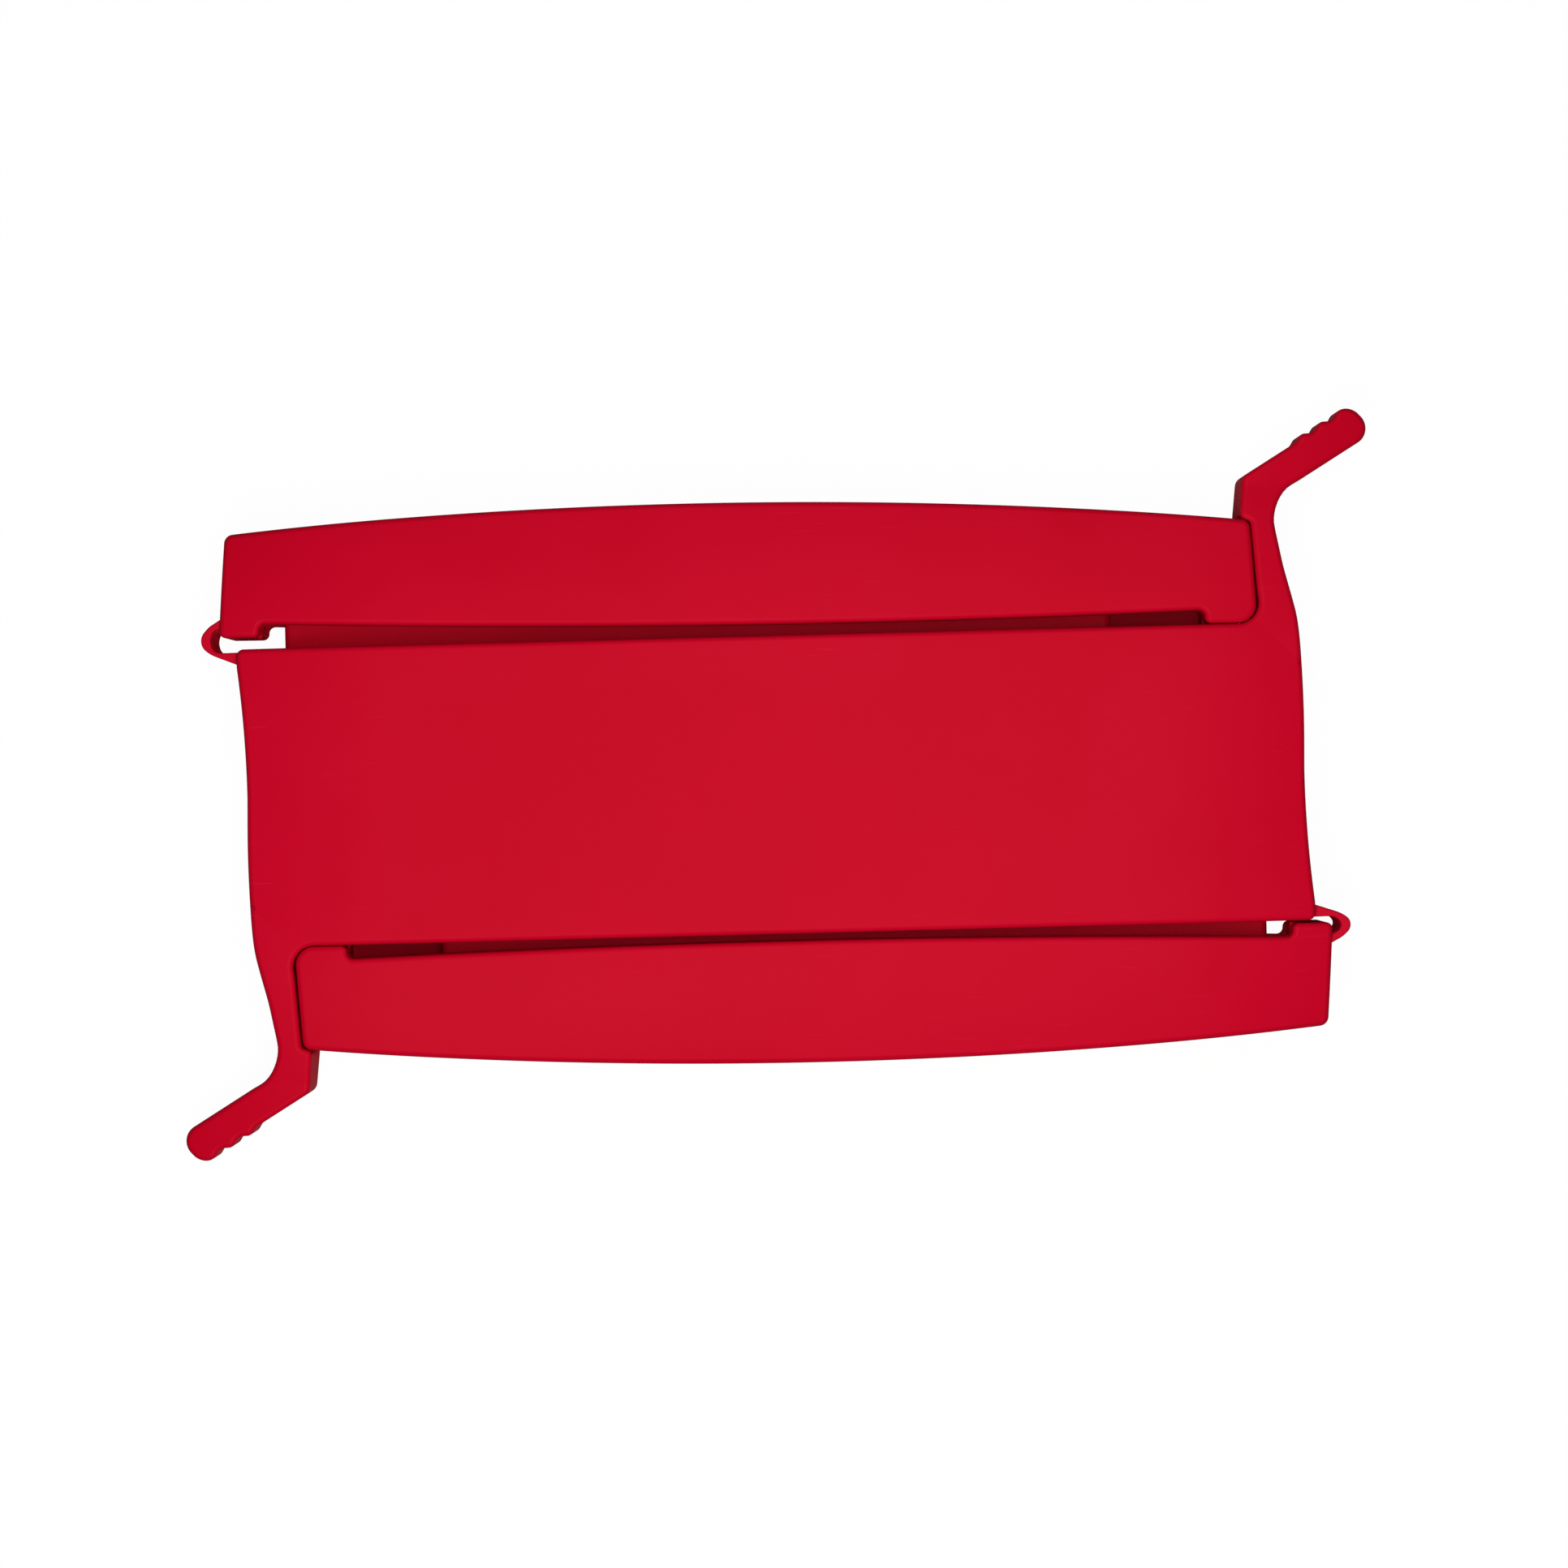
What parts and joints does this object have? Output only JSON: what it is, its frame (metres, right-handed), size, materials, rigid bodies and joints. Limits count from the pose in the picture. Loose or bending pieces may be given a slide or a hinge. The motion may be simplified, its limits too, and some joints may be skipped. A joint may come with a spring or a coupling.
{
  "type": "double bag clip",
  "caption": "Flat double bag clip: a crowned plate with a hinged clamping jaw along each long edge, each jaw on a springy strap and held shut by a flexing latch with a ridged finger tab.",
  "frame": {"origin": "on the clip's two-fold axis, at the level of the back faces that it lies on", "axes": "X along the jaws with the upper latch at +X, Y from the lower jaw to the upper jaw, Z from the back to the crowned front"},
  "size_m": [0.1488, 0.0896, 0.014],
  "materials": {
    "moulding": "red polypropylene as moulded, satin gloss"
  },
  "bodies": {
    "body": {"body_plate": "moulding", "upper_tongue": "moulding", "lower_tongue": "moulding", "upper_hinge_strap": "moulding", "lower_hinge_strap": "moulding", "upper_latch_root": "moulding", "lower_latch_root": "moulding"},
    "upper_clamp": {"upper_jaw": "moulding"},
    "lower_clamp": {"lower_jaw": "moulding"},
    "upper_latch": {"upper_latch_arm": "moulding", "upper_finger_tab": "moulding"},
    "lower_latch": {"lower_latch_arm": "moulding", "lower_finger_tab": "moulding"}
  },
  "joints": [
    {"name": "upper_jaw_hinge", "type": "hinge", "parent": "body", "child": "upper_clamp", "pos_m": [-0.0699, 0.01948, 0.0066], "axis": [0, 0, 1], "range_deg": [0, 110], "deforming": ["upper_hinge_strap"]},
    {"name": "lower_jaw_hinge", "type": "hinge", "parent": "body", "child": "lower_clamp", "pos_m": [0.06947, -0.01904, 0.0066], "axis": [0, 0, 1], "range_deg": [0, 110], "deforming": ["lower_hinge_strap"]},
    {"name": "upper_latch_flex", "type": "hinge", "parent": "body", "child": "upper_latch", "pos_m": [0.0622, 0.0206, 0.0066], "axis": [0, 0, -1], "range_deg": [0, 10], "stiffness_Nm_per_rad": 3, "deforming": ["upper_latch_root"]},
    {"name": "lower_latch_flex", "type": "hinge", "parent": "body", "child": "lower_latch", "pos_m": [-0.0622, -0.0206, 0.0066], "axis": [0, 0, -1], "range_deg": [0, 10], "stiffness_Nm_per_rad": 3, "deforming": ["lower_latch_root"]}
  ]
}
